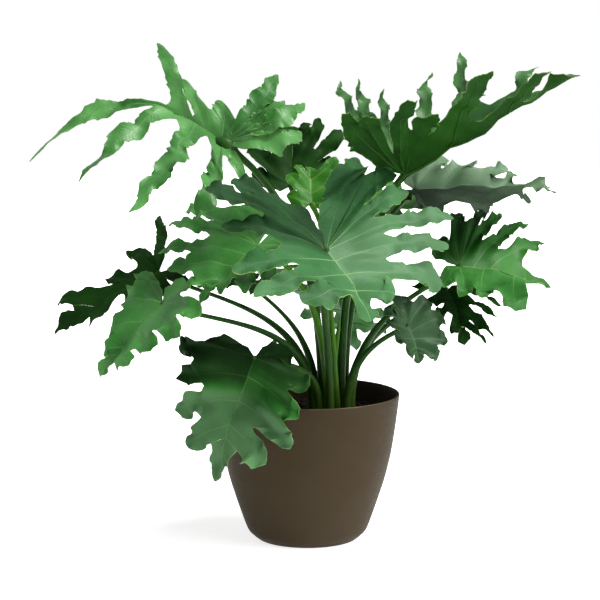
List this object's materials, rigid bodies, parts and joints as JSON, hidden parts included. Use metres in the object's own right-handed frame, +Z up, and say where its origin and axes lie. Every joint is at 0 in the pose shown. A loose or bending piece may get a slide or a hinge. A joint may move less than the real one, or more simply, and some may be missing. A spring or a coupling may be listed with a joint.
{
  "type": "potted philodendron",
  "caption": "Potted lacy tree philodendron: long arching stalks carry deep-cut, wavy-edged leaves over a plain tapered plastic pot of potting mix.",
  "frame": {"origin": "centre of the pot's flat base", "axes": "+Z up along the pot's axis, -Y towards the viewer of the picture, +X to that viewer's right"},
  "size_m": [0.7757, 0.5395, 0.6984],
  "materials": {
    "pot_plastic": "matt",
    "potting_mix": "rough",
    "leaf_green": "satin",
    "young_green": "satin"
  },
  "bodies": {
    "root": {"planter": "pot_plastic", "potting_soil": "potting_mix", "leaf_upper_left": "leaf_green", "leaf_upper_right": "leaf_green", "leaf_front": "leaf_green", "leaf_mid_left": "leaf_green", "leaf_right_high": "leaf_green", "leaf_right": "leaf_green", "leaf_right_low": "leaf_green", "leaf_right_front": "leaf_green", "leaf_left": "leaf_green", "leaf_left_front": "leaf_green", "leaf_low_front": "leaf_green", "leaf_back": "leaf_green", "leaf_young": "young_green", "leaf_left_back": "leaf_green", "leaf_rear_low": "leaf_green", "leaf_rear_high": "leaf_green", "new_leaf_spear": "young_green", "crown_sheath": "young_green"}
  },
  "joints": []
}
